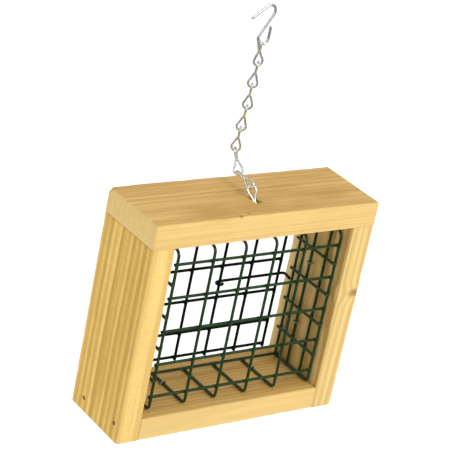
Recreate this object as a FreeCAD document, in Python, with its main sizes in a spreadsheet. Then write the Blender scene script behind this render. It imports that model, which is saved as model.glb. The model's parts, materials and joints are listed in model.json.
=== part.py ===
import FreeCAD, Part
import math
import os

import Sketcher

from FreeCAD import Placement, Rotation, Vector

# Hanging suet feeder: a wooden board frame, a welded wire cage with a hinged rear door,
# and a jack chain with a wire hook. Millimetres. X runs to the right along the front,
# Y to the back, Z up. The origin is the centre of the underside of the wooden frame.

doc = FreeCAD.newDocument("bird_feeder")
sheet = doc.addObject("Spreadsheet::Sheet", "sizes")

SIZES = {
    # wooden frame
    "frame_width": 193.7, "frame_height": 171.45, "board_depth": 63.5,
    "top_thick": 19.0, "side_thick": 18.3, "bottom_thick": 17.5, "edge_ease": 1.2,
    # brads
    "brad_dia": 1.6, "brad_length": 38, "brad_head_dia": 3.0, "brad_head_thick": 0.8,
    "brad_sunk": 1.0, "top_brad_spread": 19, "front_brad_back": -24, "front_brad_rise": 13.5,
    "rear_brad_back": 17, "rear_brad_rise": 10,
    # welded wire cage
    "wire_dia": 2.2, "weld_bite": 0.1, "wire_stub": 1.2, "cage_left": -67.5, "cage_right": 76.3,
    "cage_front": -22.6, "cage_rear": 19.9, "cage_top": 144.9, "leg_end": 21.1,
    "lower_bend": 3.2, "upper_bend": 4.8, "wire_lift": 0.1,
    "inner_upright_first": -36.8, "inner_upright_pitch": 27,
    "front_bar_low": 27.4, "front_bar_pitch": 26.5, "side_bar_low": 43,
    "side_bar_pitch": 25.5, "side_bar_front": -25.4, "side_bar_rear": 22.4,
    "side_upright_first": -11.3,
    # cage staples
    "staple_dia": 1.3, "staple_bite": 9, "staple_back": 6, "wall_staple_low": 55.75,
    "wall_staple_high": 106.75,
    # rear door and its latch
    "door_left": -46.8, "door_upright_pitch": 27.1, "door_low": 27.6, "door_high": 132.5,
    "door_bar_low": 29.4, "door_bar_high": 128.6, "hinge_bar_low": 49.8, "hinge_bar_high": 102.4,
    "pin_clearance": 0.08, "latch_rise": 89.1, "latch_reach": 70.2, "latch_gap": 0.75,
    "latch_leg": 8, "latch_bend": 2.6,
    # chain eye and the slot in the top board that it stands in
    "slot_length": 12.5, "slot_width": 5.4, "slot_depth": 6.5, "slot_back": -7,
    "eye_dia": 1.7, "eye_lean": 38, "eye_height": 10, "eye_width": 7.4, "eye_leg": 12,
    # jack chain and hook
    "chain_dia": 1.6, "chain_pitch": 17, "link_play": 0.8, "face_loop": 10.3,
    "face_width": 6.4, "edge_width": 5.6, "hook_dia": 1.9, "hook_height": 28.5,
    "hook_width": 9.2, "hook_crest": 2.2, "hook_eye_width": 9, "hook_eye_shift": 1.2,
    "hook_eye_leg": 13.5, "hook_tip_left": -12.4, "hook_tip_rise": 18.7,
}
for row, (alias, size) in enumerate(SIZES.items(), start=1):
    sheet.set(f"A{row}", alias)
    sheet.set(f"B{row}", str(size))
    sheet.setAlias(f"B{row}", alias)
doc.recompute()


def size_of(alias):
    """Return a driving dimension from the sheet."""
    return float(sheet.get(alias))


wire = size_of("wire_dia")
weld_step = wire - size_of("weld_bite")
opening_floor = size_of("bottom_thick")
leg_low = opening_floor + wire / 2 + size_of("wire_lift")
leg_high = size_of("cage_top")
eye_radius = wire + size_of("pin_clearance")
door_bar_back = size_of("cage_rear") + eye_radius
door_upright_back = door_bar_back - weld_step

subparts = []

LEG_GAP = 0.05
WAIST_SWELL = 0.95


def keep(obj, label):
    """Give a finished sub-part the label that names its file."""
    obj.Label = label
    subparts.append(obj)
    return obj


def feature(label, shape, placement=None):
    """Make a sub-part from a finished shape and then place it."""
    obj = doc.addObject("Part::Feature", label)
    obj.Shape = shape
    if placement is not None:
        obj.Placement = placement
    return keep(obj, label)


# ---------------------------------------------------------------- wire shapes

def arc(centre, radius, start, end):
    """Return an arc in the XZ plane from one angle to another, in degrees."""
    angles = (start, (start + end) / 2, end)
    return Part.Arc(*[centre + polar(radius, angle) for angle in angles]).toShape()


def line(start, end):
    return Part.LineSegment(start, end).toShape()


def polar(radius, angle):
    """Return the offset from a circle's centre in the XZ plane, for an angle in degrees."""
    turn = math.radians(angle)
    return Vector(radius * math.cos(turn), 0, radius * math.sin(turn))


def sweep(edges, diameter):
    """Sweep a round wire along tangent edges and return the solid."""
    path = Part.Wire(edges)
    start = edges[0].valueAt(edges[0].FirstParameter)
    heading = edges[0].tangentAt(edges[0].FirstParameter)
    section = Part.Wire([Part.makeCircle(diameter / 2, start, heading)])
    solid = path.makePipeShell([section], True, False)
    return solid if solid.Volume > 0 else solid.reversed()


def rounded(corners, radius):
    """Return straight runs through the corners with a tangent arc at each inner one."""
    radii = radius if isinstance(radius, list) else [radius] * (len(corners) - 2)
    edges = []
    here = corners[0]
    for before, corner, after, bend in zip(corners, corners[1:], corners[2:], radii):
        back = (before - corner).normalize()
        ahead = (after - corner).normalize()
        half_turn = back.getAngle(ahead) / 2
        enter = corner + back * (bend / math.tan(half_turn))
        leave = corner + ahead * (bend / math.tan(half_turn))
        bisector = (back + ahead).normalize()
        middle = corner + bisector * (bend / math.sin(half_turn) - bend)
        edges += [line(here, enter), Part.Arc(enter, middle, leave).toShape()]
        here = leave
    return edges + [line(here, corners[-1])]


def tangent_angle(centre, radius, point, side):
    """Return the angle on a circle where the line from a point touches it, on one side."""
    away = point - centre
    swing = math.degrees(math.acos(radius / away.Length))
    return math.degrees(math.atan2(away.z, away.x)) + side * swing


def straight_wires(label, starts, axis, length):
    """Make one node of equal straight wires that leave their starts along one axis."""
    rods = []
    for number, start in enumerate(starts, start=1):
        rod = doc.addObject("Part::Cylinder", f"{label}_{number}")
        rod.setExpression("Radius", "sizes.wire_dia / 2")
        rod.Height = length
        rod.Placement = Placement(start, Rotation(Vector(0, 0, 1), axis))
        rods.append(rod)
    group = doc.addObject("Part::Compound", label)
    group.Links = rods
    return keep(group, label)


# ---------------------------------------------------------------- boards

def origin_plane(body, role):
    return next(item for item in body.Origin.OriginFeatures if item.Role == role)


def rectangle(sketch, width, depth):
    """Draw a rectangle centred on the sketch origin, sized from two sheet expressions."""
    half = [(-10, -10), (10, -10), (10, 10), (-10, 10)]
    for start, end in zip(half, half[1:] + half[:1]):
        sketch.addGeometry(Part.LineSegment(Vector(*start, 0), Vector(*end, 0)), False)
    add = sketch.addConstraint
    make = Sketcher.Constraint
    for number in range(4):
        add(make("Coincident", number, 2, (number + 1) % 4, 1))
    add(make("Horizontal", 0))
    add(make("Horizontal", 2))
    add(make("Vertical", 1))
    add(make("Vertical", 3))
    add(make("Symmetric", 0, 1, 1, 2, -1, 1))
    across = add(make("DistanceX", 0, 1, 0, 2, 20))
    along = add(make("DistanceY", 1, 1, 1, 2, 20))
    sketch.setExpression(f"Constraints[{across}]", width)
    sketch.setExpression(f"Constraints[{along}]", depth)


def board_body(name, width, height):
    """Pad a board upwards from a rectangle and ease all of its edges."""
    body = doc.addObject("PartDesign::Body", name)
    sketch = body.newObject("Sketcher::SketchObject", f"{name}_outline")
    sketch.AttachmentSupport = [(origin_plane(body, "XY_Plane"), "")]
    sketch.MapMode = "FlatFace"
    rectangle(sketch, width, "sizes.board_depth")
    pad = body.newObject("PartDesign::Pad", f"{name}_pad")
    pad.Profile = sketch
    pad.setExpression("Length", height)
    doc.recompute()
    ease = body.newObject("PartDesign::Fillet", f"{name}_ease")
    ease.Base = (pad, [f"Edge{number}" for number in range(1, 13)])
    ease.setExpression("Radius", "sizes.edge_ease")
    doc.recompute()
    return body


def slot_pocket(body):
    """Cut the round-ended slot that the chain eye stands in, and check that it cut."""
    before = body.Shape.Volume
    sketch = body.newObject("Sketcher::SketchObject", "slot_outline")
    sketch.AttachmentSupport = [(origin_plane(body, "XY_Plane"), "")]
    sketch.MapMode = "FlatFace"
    sketch.setExpression(".AttachmentOffset.Base.z", "sizes.top_thick")
    sketch.setExpression(".AttachmentOffset.Base.y", "sizes.slot_back")
    radius = size_of("slot_width") / 2
    reach = size_of("slot_length") / 2 - radius
    sketch.addGeometry(Part.LineSegment(Vector(-radius, reach, 0), Vector(-radius, -reach, 0)), False)
    bottom = Part.Circle(Vector(0, -reach, 0), Vector(0, 0, 1), radius)
    sketch.addGeometry(Part.ArcOfCircle(bottom, math.pi, 2 * math.pi), False)
    sketch.addGeometry(Part.LineSegment(Vector(radius, -reach, 0), Vector(radius, reach, 0)), False)
    top = Part.Circle(Vector(0, reach, 0), Vector(0, 0, 1), radius)
    sketch.addGeometry(Part.ArcOfCircle(top, 0, math.pi), False)
    pocket = body.newObject("PartDesign::Pocket", "slot_pocket")
    pocket.Profile = sketch
    pocket.setExpression("Length", "sizes.slot_depth")
    doc.recompute()
    if body.Shape.Volume >= before:
        raise RuntimeError("the slot pocket cut nothing")


def drilled(label, body, fasteners):
    """Cut the fasteners' own shapes out of a board, so that each one sits in its hole."""
    holes = doc.addObject("Part::Compound", f"{label}_holes")
    holes.Links = fasteners
    cut = doc.addObject("Part::Cut", label)
    cut.Base = body
    cut.Tool = holes
    return keep(cut, label)


# ---------------------------------------------------------------- fasteners

def brad(head, heading):
    """Return a brad with its head's outer face at a point, driven along a heading."""
    shank = Part.makeCylinder(size_of("brad_dia") / 2, size_of("brad_length"), head, heading)
    cap = Part.makeCylinder(size_of("brad_head_dia") / 2, size_of("brad_head_thick"), head, heading)
    return shank.fuse(cap).removeSplitter()


def brads(label, places):
    return feature(label, Part.makeCompound([brad(head, heading) for head, heading in places]))


def cage_staple(wire_point, inward, across, depth):
    """Return a staple whose crown bends round a cage wire and whose legs enter the wood.

    inward points from the wire into the wood, across from one leg to the other, and depth is
    how far the tips lie beyond the wire's axis.
    """
    crown = (wire + size_of("staple_dia")) / 2 + size_of("wire_lift")
    left, right = wire_point - across * crown, wire_point + across * crown
    edges = [
        line(left + inward * depth, left),
        Part.Arc(left, wire_point - inward * crown, right).toShape(),
        line(right, right + inward * depth),
    ]
    return sweep(edges, size_of("staple_dia"))


# ---------------------------------------------------------------- frame and fasteners

half_width = size_of("frame_width") / 2
top_brads = brads("top_brads", [
    (Vector(side * (half_width - size_of("side_thick") / 2), spread * size_of("top_brad_spread"),
            size_of("frame_height") - size_of("brad_sunk")), Vector(0, 0, -1))
    for side in (-1, 1) for spread in (-1, 1)
])
bottom_brads = brads("bottom_brads", [
    (Vector(side * half_width, size_of(f"{end}_brad_back"), size_of(f"{end}_brad_rise")),
     Vector(-side, 0, 0))
    for side in (-1, 1) for end in ("front", "rear")
])

cage_span = size_of("cage_right") - size_of("cage_left")
inner_uprights = [size_of("inner_upright_first") + size_of("inner_upright_pitch") * number
                  for number in range(4)]
upright_places = [size_of("cage_left"), *inner_uprights, size_of("cage_right")]
side_pitch = (size_of("cage_rear") - size_of("side_upright_first")) / 2
side_uprights = [size_of("side_upright_first") + side_pitch * number for number in range(3)]
floor_depth = leg_low - opening_floor + size_of("staple_bite")
wall_depth = half_width - size_of("side_thick") - size_of("cage_right") + size_of("staple_bite")
cage_staples = feature("cage_staples", Part.makeCompound(
    [cage_staple(Vector(across, size_of("staple_back"), leg_low), Vector(0, 0, -1),
                 Vector(1, 0, 0), floor_depth) for across in (inner_uprights[0], inner_uprights[-1])]
    + [cage_staple(Vector(size_of("cage_right"), side_uprights[1], size_of(f"wall_staple_{level}")),
                   Vector(1, 0, 0), Vector(0, 1, 0), wall_depth) for level in ("low", "high")]
))


def chain_eye_wire():
    """Return the eye in the XZ plane: two legs side by side, opening to a round top."""
    radius = size_of("eye_width") / 2
    leg = size_of("eye_dia") / 2 + LEG_GAP
    centre = Vector(0, 0, size_of("eye_height") - radius)
    neck = Vector(leg, 0, 0)
    touch = tangent_angle(centre, radius, neck, 1)
    right = [Vector(leg, 0, -size_of("eye_leg")), neck, centre + polar(radius, touch)]
    left = [Vector(-point.x, 0, point.z) for point in reversed(right)]
    bend = 2 * size_of("eye_dia")
    edges = rounded(right, bend) + [arc(centre, radius, touch, 180 - touch)] + rounded(left, bend)
    return sweep(edges, size_of("eye_dia"))


eye_lean = Rotation(Vector(1, 0, 0), -size_of("eye_lean"))
eye_foot = Vector(0, size_of("slot_back"), size_of("frame_height"))
chain_eye = feature("chain_eye", chain_eye_wire(), Placement(eye_foot, eye_lean))

top_body = board_body("top_blank", "sizes.frame_width", "sizes.top_thick")
slot_pocket(top_body)
top_body.setExpression(".Placement.Base.z", "sizes.frame_height - sizes.top_thick")
drilled("top_board", top_body, [top_brads, chain_eye])

bottom_body = board_body("bottom_blank", "sizes.frame_width - 2 * sizes.side_thick", "sizes.bottom_thick")
drilled("bottom_board", bottom_body, [bottom_brads, cage_staples])

for name, side, fasteners in (("left", "-1", [top_brads, bottom_brads]),
                              ("right", "1", [top_brads, bottom_brads, cage_staples])):
    side_body = board_body(f"{name}_blank", "sizes.side_thick", "sizes.frame_height - sizes.top_thick")
    side_body.setExpression(".Placement.Base.x", f"{side} * (sizes.frame_width - sizes.side_thick) / 2")
    drilled(f"{name}_side_board", side_body, fasteners)


# ---------------------------------------------------------------- welded cage

def bent_upright(across):
    """Return one cage wire: it runs forward on the floor, up the front and back at the top."""
    front = size_of("cage_front")
    rear = size_of("leg_end")
    return sweep(rounded([
        Vector(across, rear, leg_low), Vector(across, front, leg_low),
        Vector(across, front, leg_high), Vector(across, rear, leg_high),
    ], [size_of("lower_bend"), size_of("upper_bend")]), wire)


feature("cage_uprights", Part.makeCompound([bent_upright(across) for across in upright_places]))

straight_wires(
    "cage_crossbars",
    [Vector(size_of("cage_left") - wire / 2, size_of("cage_front") + weld_step,
            size_of("front_bar_low") + size_of("front_bar_pitch") * number) for number in range(5)],
    Vector(1, 0, 0), cage_span + wire)

side_bar_length = size_of("side_bar_rear") - size_of("side_bar_front")
side_bar_heights = [size_of("side_bar_low") + size_of("side_bar_pitch") * number for number in range(4)]
upright_base = leg_low + wire / 2 - size_of("weld_bite")
upright_length = leg_high - leg_low - wire + 2 * size_of("weld_bite")
for name, across in (("left", size_of("cage_left")), ("right", size_of("cage_right"))):
    straight_wires(
        f"cage_{name}_side_bars",
        [Vector(across - weld_step, size_of("side_bar_front"), rise)
         for rise in side_bar_heights],
        Vector(0, 1, 0), side_bar_length)
    fixed = side_uprights[:2] if name == "left" else side_uprights
    straight_wires(
        f"cage_{name}_side_uprights",
        [Vector(across, back, upright_base) for back in fixed],
        Vector(0, 0, 1), upright_length)
straight_wires(
    "cage_hinge_upright",
    [Vector(size_of("cage_left"), size_of("cage_rear"), upright_base)],
    Vector(0, 0, 1), upright_length)

for name, height in (("bottom", leg_low + weld_step), ("top", leg_high - weld_step)):
    straight_wires(
        f"cage_rear_{name}_bar",
        [Vector(size_of("cage_left") - wire / 2, size_of("cage_rear") - weld_step, height)],
        Vector(1, 0, 0), cage_span + wire)


# ---------------------------------------------------------------- rear door and latch

door_upright_places = [size_of("door_left") + size_of("door_upright_pitch") * number for number in range(5)]
straight_wires(
    "door_uprights",
    [Vector(across, door_upright_back, size_of("door_low")) for across in door_upright_places],
    Vector(0, 0, 1), size_of("door_high") - size_of("door_low"))

door_right_end = door_upright_places[-1] + wire / 2 + size_of("wire_stub") / 2
door_left_end = door_upright_places[0] - wire / 2 - size_of("wire_stub") / 2
door_middle = (size_of("hinge_bar_low") + size_of("hinge_bar_high")) / 2
straight_wires(
    "door_crossbars",
    [Vector(door_left_end, door_bar_back, rise)
     for rise in (size_of("door_bar_low"), door_middle, size_of("door_bar_high"))],
    Vector(1, 0, 0), door_right_end - door_left_end)


def flat_point(centre, radius, angle):
    """Return a point on a level circle round a vertical pin."""
    turn = math.radians(angle)
    return centre + Vector(radius * math.cos(turn), radius * math.sin(turn), 0)


def eye_arc(centre, start, end):
    """Return the level arc of a wire eye round a pin, from one angle to another."""
    points = [flat_point(centre, eye_radius, angle) for angle in (start, (start + end) / 2, end)]
    return Part.Arc(*points).toShape()


EYE_START = 346
HINGE_EYE_END = 90
LATCH_EYE_END = 110


def hinge_bar(rise):
    """Return a door crossbar whose left end is curled round the hinge upright."""
    pin = Vector(size_of("cage_left"), size_of("cage_rear"), rise)
    leave = flat_point(pin, eye_radius, HINGE_EYE_END)
    return sweep([
        eye_arc(pin, EYE_START, HINGE_EYE_END),
        line(leave, Vector(door_right_end, door_bar_back, rise)),
    ], wire)


feature("door_hinge_bars", Part.makeCompound(
    [hinge_bar(size_of("hinge_bar_low")), hinge_bar(size_of("hinge_bar_high"))]))


def latch_wire():
    """Return the latch: an eye round the middle door upright, an arm and a bent-in end."""
    pin = Vector(door_upright_places[2], door_upright_back, size_of("latch_rise"))
    leave = flat_point(pin, eye_radius, LATCH_EYE_END)
    turn = math.radians(LATCH_EYE_END)
    heading = Vector(math.sin(turn), -math.cos(turn), 0)
    arm_back = door_upright_back + wire + size_of("latch_gap")
    knee = leave + heading * ((arm_back - leave.y) / heading.y)
    elbow = Vector(size_of("latch_reach"), arm_back, pin.z)
    tip = elbow + Vector(0, -size_of("latch_leg"), -size_of("latch_leg") / 5)
    return sweep(
        [eye_arc(pin, EYE_START, LATCH_EYE_END)]
        + rounded([leave, knee, elbow, tip], [size_of("latch_bend"), size_of("latch_bend")]),
        wire)


feature("door_latch", latch_wire())


# ---------------------------------------------------------------- chain and hook

# The first link lies back from the eye and the rest of the chain rises. For each link, in
# degrees: how far it leans back from upright, how far it leans to the right, and the
# heading and rise of its lower loop's width.
CHAIN_POSE = [
    (81, -1, 0, 66), (35, 1.5, 56, 0), (-7.5, -3.2, 39, 0), (-2.7, 3.7, 39, 0),
    (-4.6, -2.2, 39, 0), (-3.8, 1.1, 39, 0), (-4.7, -11.2, 15, 0),
]


def leaning(back, side):
    """Return the unit direction of a link that leans back and to the side."""
    back, side = math.radians(back), math.radians(side)
    return Vector(math.sin(side), math.cos(side) * math.sin(back), math.cos(side) * math.cos(back))


def link_frame(direction, base, turn, rise):
    """Return the placement that stands a link on its base point, its lower loop turned."""
    turn, rise = math.radians(turn), math.radians(rise)
    across = Vector(math.cos(turn) * math.cos(rise), -math.sin(turn) * math.cos(rise), math.sin(rise))
    across = (across - direction * across.dot(direction)).normalize()
    return Placement(base, Rotation(across, direction.cross(across), direction, "ZXY"))


def drop_loop(width, height):
    """Return a drop-shaped wire loop in the XZ plane, round end down, legs side by side."""
    radius = width / 2
    leg = size_of("chain_dia") / 2 + LEG_GAP
    centre = Vector(0, 0, radius)
    touch = tangent_angle(centre, radius, Vector(leg, 0, height), -1)
    edges = [
        line(Vector(leg, 0, height), centre + polar(radius, touch)),
        arc(centre, radius, touch, -180 - touch),
        line(centre + polar(radius, 180 - touch), Vector(-leg, 0, height)),
    ]
    return sweep(edges, size_of("chain_dia"))


def link_shape():
    """Join a drop-shaped lower loop and a crosswise upper loop at the link's closed waist."""
    waist = size_of("face_loop")
    lower = drop_loop(size_of("face_width"), waist)
    upper = drop_loop(size_of("edge_width"), link_length - waist)
    upper.rotate(Vector(0, 0, 0), Vector(1, 0, 0), 180)
    upper.rotate(Vector(0, 0, 0), Vector(0, 0, 1), 90)
    upper.translate(Vector(0, 0, link_length))
    knot = Part.makeSphere(size_of("chain_dia") * WAIST_SWELL, Vector(0, 0, waist))
    return lower.fuse([upper, knot]).removeSplitter()


half_grip = (size_of("chain_dia") + size_of("link_play")) / 2
link_length = size_of("chain_pitch") + 2 * half_grip
joint_point = eye_foot + eye_lean.multVec(Vector(0, 0, size_of("eye_height")))
first_grip = (size_of("eye_dia") + size_of("chain_dia") + size_of("link_play")) / 2
for number, (back, side, turn, rise) in enumerate(CHAIN_POSE, start=1):
    direction = leaning(back, side)
    grip = first_grip if number == 1 else half_grip
    base = joint_point - direction * grip
    feature(f"chain_link_{number}", link_shape(), link_frame(direction, base, turn, rise))
    joint_point = base + direction * (link_length - half_grip)


def hook_wire():
    """Sweep the hook: tip, crest, slanting shank, eye bottom and the eye's closing leg."""
    eye, crest = size_of("hook_eye_width") / 2, size_of("hook_width") / 2
    low = Vector(size_of("hook_eye_shift"), 0, eye)
    high = Vector(size_of("hook_crest"), 0, size_of("hook_height") - crest)
    tip = Vector(size_of("hook_tip_left"), 0, size_of("hook_tip_rise"))
    over = tangent_angle(high, crest, tip, -1) % 360
    apart = high - low
    shank = (math.degrees(math.atan2(apart.z, apart.x))
             + math.degrees(math.acos((eye + crest) / apart.Length)))
    edges = [
        line(tip, high + polar(crest, over)),
        arc(high, crest, over, shank - 180),
        line(high + polar(crest, shank - 180), low + polar(eye, shank)),
        arc(low, eye, shank, 360),
        line(low + polar(eye, 0), Vector(low.x + eye, 0, size_of("hook_eye_leg"))),
    ]
    return sweep(edges, size_of("hook_dia"))


hook_grip = (size_of("hook_dia") + size_of("link_play")) / 2
feature("hanging_hook", hook_wire(), Placement(joint_point - Vector(0, 0, hook_grip), Rotation()))

# ---------------------------------------------------------------- check and write

doc.recompute()
for obj in doc.Objects:
    if "Invalid" in obj.State or "Error" in obj.State:
        raise RuntimeError(f"{obj.Label} did not compute: {obj.State}")
os.makedirs("parts", exist_ok=True)
for obj in subparts:
    if obj.Shape.isNull() or not obj.Shape.isValid():
        raise RuntimeError(f"{obj.Label} has no valid shape")
    obj.Shape.exportStep(f"parts/{obj.Label}.step")
    print(obj.Label, len(obj.Shape.Solids), round(obj.Shape.Volume, 1))
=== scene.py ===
import json
import math
import random

import bmesh
import bpy
from mathutils import Matrix, Vector, geometry, noise


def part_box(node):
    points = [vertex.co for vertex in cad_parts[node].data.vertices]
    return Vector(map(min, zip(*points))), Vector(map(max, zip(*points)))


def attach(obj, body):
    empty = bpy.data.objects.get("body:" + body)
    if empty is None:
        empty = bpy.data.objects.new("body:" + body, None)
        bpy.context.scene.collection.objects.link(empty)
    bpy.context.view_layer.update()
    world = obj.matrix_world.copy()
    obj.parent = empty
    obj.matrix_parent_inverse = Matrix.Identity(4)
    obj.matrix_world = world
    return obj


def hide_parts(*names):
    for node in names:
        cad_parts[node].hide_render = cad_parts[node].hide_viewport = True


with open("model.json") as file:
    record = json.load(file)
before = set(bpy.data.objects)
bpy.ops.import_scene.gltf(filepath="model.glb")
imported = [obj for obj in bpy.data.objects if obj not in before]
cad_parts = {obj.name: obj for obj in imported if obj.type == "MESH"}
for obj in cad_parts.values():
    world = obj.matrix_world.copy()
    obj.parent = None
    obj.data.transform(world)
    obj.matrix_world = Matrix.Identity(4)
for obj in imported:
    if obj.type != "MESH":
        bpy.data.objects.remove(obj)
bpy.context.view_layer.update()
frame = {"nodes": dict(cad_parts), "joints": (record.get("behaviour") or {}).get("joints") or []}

# Hanging suet feeder: cedar boards, a green vinyl-coated wire cage with a rear door, and a zinc
# jack chain with a hook. Geometry is in metres, in the frame of the CAD model. Materials work in
# millimetres, so their places, sizes and ring widths are plain numbers of millimetres.

MM = 0.001
X, Y, Z = Vector((1, 0, 0)), Vector((0, 1, 0)), Vector((0, 0, 1))

WIRE = 1.1 * MM
HINGE_CLEARANCE = 0.08 * MM
LOWER_BEND = 3.2 * MM
UPPER_BEND = 4.8 * MM
LATCH_BEND = 2.6 * MM
LATCH_GAP = 0.75 * MM
LATCH_LEG = 8 * MM

SLOT_LENGTH, SLOT_WIDTH, SLOT_DEPTH, SLOT_BACK = 12.5 * MM, 5.4 * MM, 6.5 * MM, -7 * MM
EYE_WIRE, EYE_LEAN, EYE_HEIGHT, EYE_WIDTH, EYE_LEG = 0.85 * MM, math.radians(38), 10 * MM, 7.4 * MM, 12 * MM
CHAIN_WIRE, LINK_LENGTH, FACE_LOOP = 0.8 * MM, 19.4 * MM, 10.3 * MM
FACE_WIDTH, EDGE_WIDTH = 6.4 * MM, 5.6 * MM
HOOK_WIRE, HOOK_HEIGHT, HOOK_WIDTH, HOOK_CREST = 0.95 * MM, 28.5 * MM, 9.2 * MM, 2.2 * MM
HOOK_EYE_WIDTH, HOOK_EYE_SHIFT, HOOK_EYE_LEG = 9 * MM, 1.2 * MM, 13.5 * MM
HOOK_TIP_LEFT, HOOK_TIP_RISE = -12.4 * MM, 18.7 * MM
STAPLE_WIRE = 0.65 * MM
BEAD_RADIUS = 1.45 * MM

random.seed(7)


# ---------------------------------------------------------------- reading the frame

def solids(node):
    """Return the lowest and highest corner of each separate solid in a CAD node."""
    vertices = frame["nodes"][node].data.vertices
    parent = list(range(len(vertices)))

    def root(index):
        while parent[index] != index:
            parent[index] = parent[parent[index]]
            index = parent[index]
        return index

    for edge in frame["nodes"][node].data.edges:
        parent[root(edge.vertices[0])] = root(edge.vertices[1])
    same_place = {}
    for vertex in vertices:
        twin = same_place.setdefault(tuple(round(c, 6) for c in vertex.co), vertex.index)
        parent[root(vertex.index)] = root(twin)
    groups = {}
    for vertex in vertices:
        groups.setdefault(root(vertex.index), []).append(vertex.co)
    boxes = [(Vector(map(min, zip(*group))), Vector(map(max, zip(*group)))) for group in groups.values()]
    return sorted(boxes, key=lambda box: tuple(round(c, 5) for c in box[0]))


def centreline(low, high):
    """Return the two ends of the straight wire that fills a box."""
    middle = (low + high) / 2
    size = high - low
    axis = max(range(3), key=lambda index: size[index])
    start, end = middle.copy(), middle.copy()
    start[axis], end[axis] = low[axis], high[axis]
    return start, end


def wires_of(node):
    """Return the two ends of each straight wire in a CAD node."""
    return [centreline(low, high) for low, high in solids(node)]


def joint(name):
    """Return a joint's place and its axis."""
    found = next(item for item in frame["joints"] if item["name"] == name)
    return Vector(found["pos_m"]), Vector(found["axis"])


# ---------------------------------------------------------------- materials

class Graph:
    """Short calls for building one material's nodes."""

    def __init__(self, name):
        self.material = bpy.data.materials.new(name)
        self.material.use_nodes = True
        self.tree = self.material.node_tree
        self.tree.nodes.clear()
        self.shader = self.tree.nodes.new("ShaderNodeBsdfPrincipled")
        output = self.tree.nodes.new("ShaderNodeOutputMaterial")
        self.tree.links.new(self.shader.outputs["BSDF"], output.inputs["Surface"])

    def put(self, socket, value):
        """Link a socket to another one, or set it to a plain value."""
        if isinstance(value, bpy.types.NodeSocket):
            self.tree.links.new(value, socket)
        else:
            socket.default_value = value

    def surface(self, **values):
        """Set the shader's inputs by name."""
        for name, value in values.items():
            self.put(self.shader.inputs[name.replace("_", " ")], value)

    def add(self, kind, *inputs, **settings):
        """Add a node with its settings, and fill its inputs in order."""
        node = self.tree.nodes.new("ShaderNode" + kind)
        for name, value in settings.items():
            setattr(node, name, value)
        for socket, value in zip(node.inputs, inputs):
            self.put(socket, value)
        return node

    def math(self, operation, *inputs):
        """Return the result of one arithmetic step."""
        return self.add("Math", *inputs, operation=operation).outputs[0]

    def place(self):
        """Return the point on the object in millimetres."""
        point = self.add("TexCoord").outputs["Object"]
        return self.add("VectorMath", point, (1000, 1000, 1000), operation="MULTIPLY").outputs[0]

    def noise(self, point, scale, detail=2.0, roughness=0.5):
        """Return a noise whose scale may differ along the three axes."""
        if not isinstance(scale, tuple):
            scale = (scale, scale, scale)
        stretched = self.add("VectorMath", point, scale, operation="MULTIPLY").outputs[0]
        node = self.add("TexNoise")
        self.put(node.inputs["Vector"], stretched)
        self.put(node.inputs["Scale"], 1.0)
        self.put(node.inputs["Detail"], detail)
        self.put(node.inputs["Roughness"], roughness)
        return node.outputs[0]

    def step(self, value, low, high, to_low=0.0, to_high=1.0):
        """Return a value moved smoothly from one range to another."""
        node = self.add("MapRange", value, low, high, to_low, to_high, interpolation_type="SMOOTHSTEP")
        return node.outputs[0]

    def mix(self, factor, first, second, blend="MIX"):
        """Return a blend of two colours."""
        node = self.add("Mix", data_type="RGBA", blend_type=blend, clamp_factor=True)
        self.put(node.inputs[0], factor)
        self.put(node.inputs[6], first)
        self.put(node.inputs[7], second)
        return node.outputs[2]

    def bump(self, height, distance, strength):
        """Return a normal that is tilted by a height."""
        node = self.add("Bump")
        self.put(node.inputs["Strength"], strength)
        self.put(node.inputs["Distance"], distance)
        self.put(node.inputs["Height"], height)
        return node.outputs[0]


# The first colour below is the pale colour of end grain, and also painted light on the boards' front faces.
PALE_END_GRAIN_AND_LIT_FRONT = (0.82, 0.595, 0.23, 1)
OAK = (0.47, 0.265, 0.07, 1)
KNOT = (0.22, 0.10, 0.03, 1)
# The rust colour below also serves as painted shade in the chain slot.
RUST_AND_SLOT_SHADE = (0.13, 0.06, 0.02, 1)
BOARD_FRONT, TOP_END = -31.75, 96.85


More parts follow.
